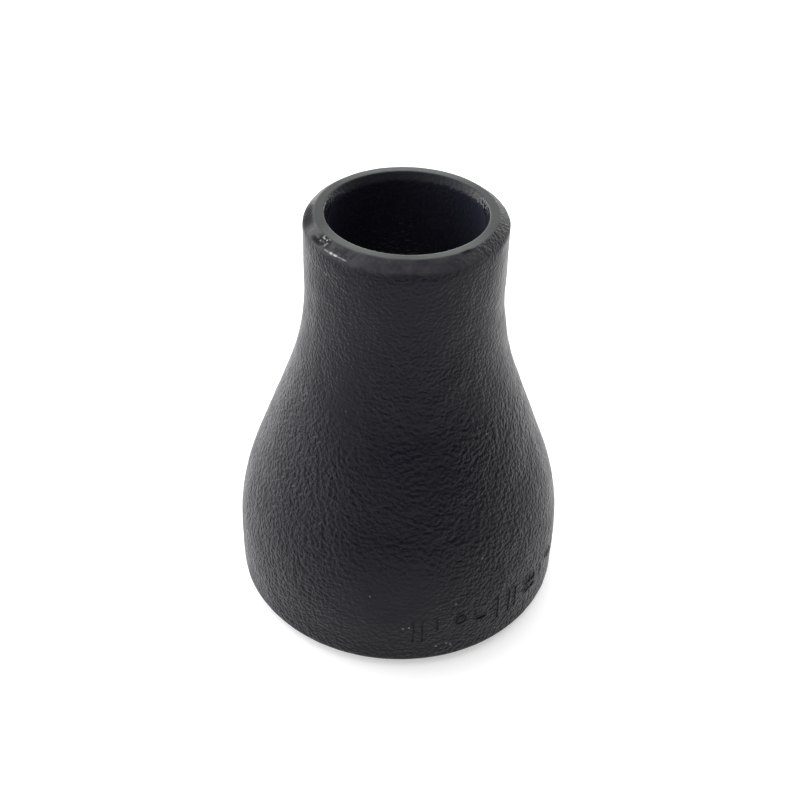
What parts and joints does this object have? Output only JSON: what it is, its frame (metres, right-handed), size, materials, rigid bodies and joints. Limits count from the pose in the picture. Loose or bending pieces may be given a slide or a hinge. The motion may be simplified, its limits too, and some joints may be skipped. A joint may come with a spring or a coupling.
{
  "type": "concentric reducer",
  "caption": "Butt-weld concentric reducer: a seamless steel shell that narrows smoothly from a large pipe end to a small one on the same axis, with a weld bevel at each end.",
  "frame": {"origin": "centre of the large end's face, on which the fitting stands", "axes": "+Z along the bore from the large end to the small end; the part is round, so +X and +Y are any two directions across it"},
  "size_m": [0.0603, 0.0602, 0.076],
  "materials": {
    "black_paint": "thin semi-gloss black paint over shot-blasted steel, worn to bare grey on the end faces"
  },
  "bodies": {
    "root": {"reducer_body": "black_paint"}
  },
  "joints": []
}
